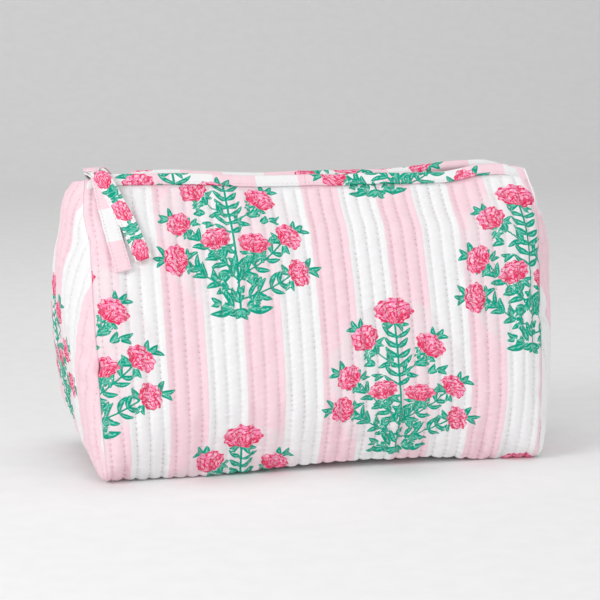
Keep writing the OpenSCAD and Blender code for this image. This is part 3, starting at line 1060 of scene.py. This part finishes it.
for label, side in (("left", -1), ("right", 1)):
    out, fine = gussets[label]
    ny, nv = fine.shape[:2]
    narrow = np.zeros_like(fine)
    for j in range(nv):
        share = min(0.42, 5.6 / max(abs(fine[0, j, 1]), 8) / 2)
        at = np.linspace(share, 1 - share, ny) * (ny - 1)
        narrow[:, j] = resample(fine[:, j], at, np.arange(ny))
    ob, flat = lining_piece(f"{label}_gusset_inside", narrow[:, 8:-4], out[:, 8:-4], IN_DEPTH - 0.3, side > 0,
                            f"{label}_gusset_lining", 40 + side)
    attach(ob, "carcass")

# A scrap of cloth under each end of the zip
for label, side in (("left", -1), ("right", 1)):
    g = np.zeros((13, 9, 3))
    g[..., 0] = side * np.linspace(119.5, 136.8, 13)[:, None]
    g[..., 1] = np.linspace(-6.8, 6.8, 9)[None]
    g[..., 2] = ZIP_LOW - 1.2 - 0.25 * lattice_noise(g[..., 0] / 4, g[..., 1] / 4, 71)
    ob = thick_sheet(f"{label}_zip_guard", g, np.tile([0, 0, -1.0], (13, 9, 1)), LINING_T, {}, side > 0)
    dress(ob, TAPE_MAT)
    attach(ob, "carcass")

floor = refine(base_c, multiple(70), multiple(28))
floor = floor[np.abs(floor[:, 0, 0]) < HALF_W - 4]
ob, flat = lining_piece("base_inside", floor, np.tile([0, 0, -1.0], floor.shape[:2] + (1,)), QUILT_T + 1.0, False,
                        "base_lining", 47)
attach(ob, "carcass")


# ---------------- zip
ZIP_Z = (coil_lo[2] + coil_hi[2]) / 2
COIL_PITCH, COIL_R, WIRE_R = 1.5, 1.75, 0.42
# A tape's own profile, as [outwards, up] in mm: flat beside the teeth, then turned down
TAPE_LINE = np.array([[3.3, 0], [4.4, 0.05], [5.6, 0.1], [6.8, 0.0], [7.7, -0.5], [8.3, -1.4], [8.9, -2.8], [9.5, -4.2],
                      [10.1, -5.6]])


def tape_piece(wall, lo, hi, label):
    """Half of one side's tape: flat beside the teeth, then turned down along the inside of the wall."""
    sign = -1 if wall == "front" else 1
    xs = np.linspace(lo, hi, multiple((hi - lo) / 1.5))
    g = np.zeros((len(xs), len(TAPE_LINE), 3))
    g[..., 0] = xs[:, None]
    g[..., 1] = sign * TAPE_LINE[:, 0]
    g[..., 2] = ZIP_Z + 0.3 + TAPE_LINE[:, 1] + 0.12 * lattice_noise(xs[:, None] / 6, TAPE_LINE[None, :, 0], 61)
    down = normals_of(g)
    down *= np.sign(-down[..., 2:].mean())
    ob = thick_sheet(f"{wall}_tape_{label}", g, down, 0.55, {}, flip=sign > 0)
    dress(ob, TAPE_MAT)
    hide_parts(f"{wall}_zip_tape")
    return ob


def coil_piece(wall, lo, hi, label):
    """Half of one side's teeth: a flattened nylon coil."""
    sign, phase = (-1, 0.0) if wall == "front" else (1, math.pi)
    turns = (hi - lo) / COIL_PITCH
    t = np.linspace(0, turns, int(turns * 12))
    a = 2 * math.pi * t + phase
    path = np.stack([lo + t * COIL_PITCH, sign * (1.62 + COIL_R * np.cos(a)), ZIP_Z + 0.78 * np.sin(a)], -1)
    along = normalized(np.gradient(path, axis=0))
    side = normalized(np.cross(along, [1.0, 0, 0]))
    lift = np.cross(along, side)
    section = rounded(2 * WIRE_R, 2 * WIRE_R, 7, 2.0)
    verts = path[:, None] + side[:, None] * section[:, :1] + lift[:, None] * section[:, 1:]
    faces = rod_faces(len(path), len(section))
    ob = new_mesh(f"{wall}_coil_{label}", verts.reshape(-1, 3), faces, flat_from=len(faces) - 2)
    dress(ob, COIL_MAT)
    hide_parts(f"{wall}_zip_coil")
    return ob


for wall in ("front", "back"):
    for label, side, lo, hi, cut in halves(wall, 8 - HALF_W, HALF_W - 8):
        open_with(tape_piece(wall, lo, hi, label))
        ends = (coil_lo[0], cut) if side < 0 else (cut, coil_hi[0])
        open_with(coil_piece(wall, *ends, label))

# The frame's own small pieces stay, with their edges rounded by some mm
for node, mat, round_by in (("slider_body", METAL_MAT, 0.25), ("slider_bail", METAL_MAT, 0.15),
                            ("bottom_stop", METAL_MAT, 0.2), ("top_stops", METAL_MAT, 0.15),
                            ("left_zip_end", TAPE_MAT, 0.15), ("right_zip_end", TAPE_MAT, 0.15)):
    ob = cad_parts[node]
    ob.data.materials.clear()
    ob.data.materials.append(mat)
    soft = ob.modifiers.new("round", "BEVEL")
    soft.width = round_by * MM
    soft.segments = 2
    soft.limit_method = "ANGLE"
    soft.angle_limit = math.radians(40)


# ---------------- the cloth pull
STRIP_W, STRIP_T, STRIP_STITCH = 10.3, 1.5, 2.6
SLIDE = 259.0                # how far the slider runs
PULL_X, PULL_Z = float((bail_lo[0] + bail_hi[0]) / 2), 181.6


def wall_place(x, down):
    """A place on the front's outer face, down mm below its top edge, and the direction out of it."""
    fine, out = walls["front"].fine, walls["front"].out
    nu, nv = fine.shape[:2]
    j = np.clip((1 - down / OUTLINE_L) * (nv - 1), 0, nv - 2)
    i = np.clip(np.interp(x, fine[:, int(j), 0], np.arange(nu)), 0, nu - 2)
    a, b = int(i), int(j)
    f, h = i - a, j - b
    w = [(a, b, (1 - f) * (1 - h)), (a + 1, b, f * (1 - h)), (a, b + 1, (1 - f) * h), (a + 1, b + 1, f * h)]
    return sum(fine[p, q] * k for p, q, k in w), sum(out[p, q] * k for p, q, k in w)


def ribbon(name, path, across, u0, turn, width, thick, design, seed, fold_end=True):
    """A folded cloth strip with stitches near both edges, cut from the print at u0 along it or, turned, across it."""
    n = int(run_along(np.asarray(path, float))[-1] / 0.6)
    path, across = (catmull(np.asarray(a, float), 400, 0) for a in (path, across))
    own = run_along(path)
    at = np.linspace(0, own[-1], n)
    path, across = resample(path, at, own), resample(across, at, own)
    along = normalized(np.gradient(path, axis=0))
    across = normalized(across - along * (across * along).sum(1, keepdims=True))
    lift = np.cross(across, along)
    section = rounded(width, thick, 40, 5.0)
    near = width / 2 - 1.3 - np.abs(section[:, 0])
    groove = np.exp(-(near / 0.55) ** 2) * (0.5 + 0.5 * np.cos(2 * math.pi * at / STRIP_STITCH))[:, None]
    lumps = lattice_noise(at[:, None] / 4, section[None, :, 0] / 3, 15 + seed)
    high = section[:, 1] * (1 - 0.42 * groove) + 0.12 * lumps
    wide = section[:, 0] * (1 + 0.02 * lattice_noise(at / 5, 0, 16 + seed))[:, None]
    if fold_end:
        high = high * (1 + 0.25 * np.exp(-((at[-1] - at - 2.5) / 1.2) ** 2))[:, None]
    verts = path[:, None] + across[:, None] * wide[..., None] + lift[:, None] * high[..., None]
    down, phase, off = (np.broadcast_to(a, wide.shape)
                        for a in (-at[:, None], (at / STRIP_STITCH)[:, None], np.abs(near)))
    flower, leaf, ground = print_fields(wide, down, [(0.0, 0.0)], design)
    u, v = (down + own[-1], wide) if turn else (wide, down)
    fields = {"cloth": np.stack([u + u0, v, phase], -1).reshape(-1, 3), "stitch": off.ravel(),
              "flower": flower.reshape(-1, 3), "leaf": leaf.reshape(-1, 3), "ground": 0 * ground.ravel()}
    faces, sides = strip_faces(n, len(section))
    ob = new_mesh(name, verts.reshape(-1, 3), faces, fields, sides)
    dress(ob, QUILT_MAT)
    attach(ob, "fabric_pull")
    return ob, own[-1]


def tail_path(x0, slant, length, rest, sway):
    """Over the bound edge, then down the front at a slant, resting on the cloth."""
    top_z = WALL_TOP + float(top_lift(np.array(x0))) + FOLD_UP - 1.0 + 1.6
    slant = math.radians(slant)
    path = [[(x0 + PULL_X) / 2, -2.0, PULL_Z + 2.3 + rest * 0.5], [x0 - 0.8, -5.5, top_z + 0.4 + rest * 0.8],
            [x0, -10.0, top_z + 0.8 + rest], [x0 + 1.6, -14.4, top_z - 0.6 + rest]]
    across = [[1, 0.0, 0.1], [1, 0.05, 0.1], [1, 0.08, 0.15], [math.cos(slant), 0, 0.5 * math.sin(slant)]]
    for down in np.arange(5.0, length * math.cos(slant), 6.0):
        x = x0 + 1.6 + math.tan(slant) * down + sway * math.sin(down / length * math.pi)
        (p, out), (q, _) = wall_place(x, down), wall_place(x + SLIDE, down)
        p = p + out * max(0.0, float(p[1] - q[1]))
        path.append(p + out * (3.0 + rest - 0.7 * float(smooth(np.array(down), 8, 30)) + 0.5 * math.sin(down / 9)))
        across.append([math.cos(slant), 0, math.sin(slant)])
    return path, across


for name, way, u0, turn, design, seed in (
        ("front_tail", (PULL_X - 7.5, 18.8, 66, 1.4, 1.0), STRIPE_X - 12, False, PULL_SPRIGS, 0),
        ("rear_tail", (PULL_X - 8.0, 7.5, 67, -0.3, -1.0), STRIPE_X + 4, True, ([], PULL_SPRIGS[1][:12], []), 1)):
    tail, long = ribbon(f"{name}_strip", *tail_path(*way), u0, turn, STRIP_W, STRIP_T, design, seed)
    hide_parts(name)

edge_z = WALL_TOP + float(top_lift(np.array(PULL_X))) + FOLD_UP + 1.2
loop = [[PULL_X - 11, -13.5, edge_z + 1.2], [PULL_X - 9.5, -9, edge_z + 2.2], [PULL_X - 5, -4, edge_z + 0.6],
        [PULL_X, -0.4, PULL_Z + 2.6], [PULL_X, 1.9, PULL_Z + 1.0], [PULL_X, 1.9, PULL_Z - 1.0],
        [PULL_X, 0.2, PULL_Z - 1.9], [PULL_X, -1.9, PULL_Z - 0.3], [PULL_X - 3.5, -3.4, PULL_Z + 1.8],
        [PULL_X - 7, -6.2, edge_z - 0.2]]
pull_loop, long = ribbon("loop_strip", loop, [[1, 0.02, 0]] * len(loop), STRIPE_X + 10, False, 9.6, 1.1,
                         ([], [], []), 2, fold_end=False)
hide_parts("pull_loop")


def stitches(name, places, direction, length, radius):
    """Separate stitches of thread, each a short bent rod."""
    verts, faces = [], []
    rings, section = 7, rounded(2 * radius, 2 * radius, 8, 2.0)
    d = np.asarray(direction, float) / np.linalg.norm(direction)
    side = np.cross(d, [0, -0.3, 0.95])
    side /= np.linalg.norm(side)
    up = np.cross(side, d)
    for p in places:
        faces += rod_faces(rings, len(section), len(verts))
        for t in np.linspace(-0.5, 0.5, rings):
            r = math.sqrt(max(0.05, 1 - (2 * t) ** 4))
            c = np.asarray(p) + d * t * length - up * (2 * t) ** 2 * radius * 0.9
            verts += [c + side * q[0] * r + up * q[1] * r for q in section]
    return dress(new_mesh(name, verts, faces), THREAD_MAT)


bars = [[PULL_X - 8.4 + dx, -7.2 + 0.25 * k, edge_z + 2.6 - 0.1 * k] for k, dx in enumerate(np.linspace(-3.6, 3.6, 6))]
thread = stitches("pull_stitches", bars, [0.35, 1, 0.1], 2.2, 0.28)
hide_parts("pull_stitching")
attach(thread, "fabric_pull")


# ---------------- floor, light and camera
def stage():
    """A pale floor that curves up into a backdrop."""
    y = np.r_[np.linspace(-3000, 1600, 8), 1600 + 900 * np.sin(np.linspace(0.1, 1.57, 14)), 2500]
    z = np.r_[np.zeros(8), 900 - 900 * np.cos(np.linspace(0.1, 1.57, 14)), 4500]
    x = np.array([-4000, 4000])
    verts = np.array([[a, b, c] for b, c in zip(y, z) for a in x])
    n = Nodes("paper")
    grain = n.noise(n.place(), 60, 3)
    paper = n.mix(n.ramp(grain, 0.3, 0.7), (0.90, 0.90, 0.90, 1), (0.92, 0.92, 0.92, 1))
    ob = new_mesh("backdrop", verts, quads(len(y), 2, 0, True))
    ob.data.materials.append(n.finish(paper, 0.9))


stage()
world = bpy.data.worlds.new("studio")
world.use_nodes = True
world.node_tree.nodes["Background"].inputs[0].default_value = (1, 1, 1, 1)
world.node_tree.nodes["Background"].inputs[1].default_value = 0.48
bpy.context.scene.world = world


def area_light(name, place, aim, size, power):
    lamp = bpy.data.lights.new(name, "AREA")
    lamp.shape = "RECTANGLE"
    lamp.size, lamp.size_y = size
    lamp.energy = power
    ob = bpy.data.objects.new(name, lamp)
    bpy.context.scene.collection.objects.link(ob)
    ob.location = place
    ob.rotation_euler = (Vector(aim) - Vector(place)).to_track_quat("-Z", "Y").to_euler()


aim = (0, 0, 0.09)
area_light("key", (-1.45, -0.8, 0.95), aim, (0.8, 0.8), 14.5)
area_light("fill", (0.7, -1.9, 0.55), aim, (1.4, 1.0), 9.5)
area_light("top", (0.1, 0.2, 1.7), aim, (1.5, 1.1), 7)

AZIMUTH, ELEVATION, DISTANCE = -14.5, 9.0, 1.40
AIM = Vector((-0.002, 0, 0.100))
cam = bpy.data.cameras.new("camera")
cam.lens = 128.5
cam.sensor_width = 36
cam_ob = bpy.data.objects.new("camera", cam)
bpy.context.scene.collection.objects.link(cam_ob)
az, el = math.radians(AZIMUTH), math.radians(ELEVATION)
back_way = Vector((math.sin(az) * math.cos(el), -math.cos(az) * math.cos(el), math.sin(el)))
cam_ob.location = AIM + back_way * DISTANCE
cam_ob.rotation_euler = (-back_way).to_track_quat("-Z", "Y").to_euler()
bpy.context.scene.camera = cam_ob
bpy.context.scene.view_settings.view_transform = "Standard"
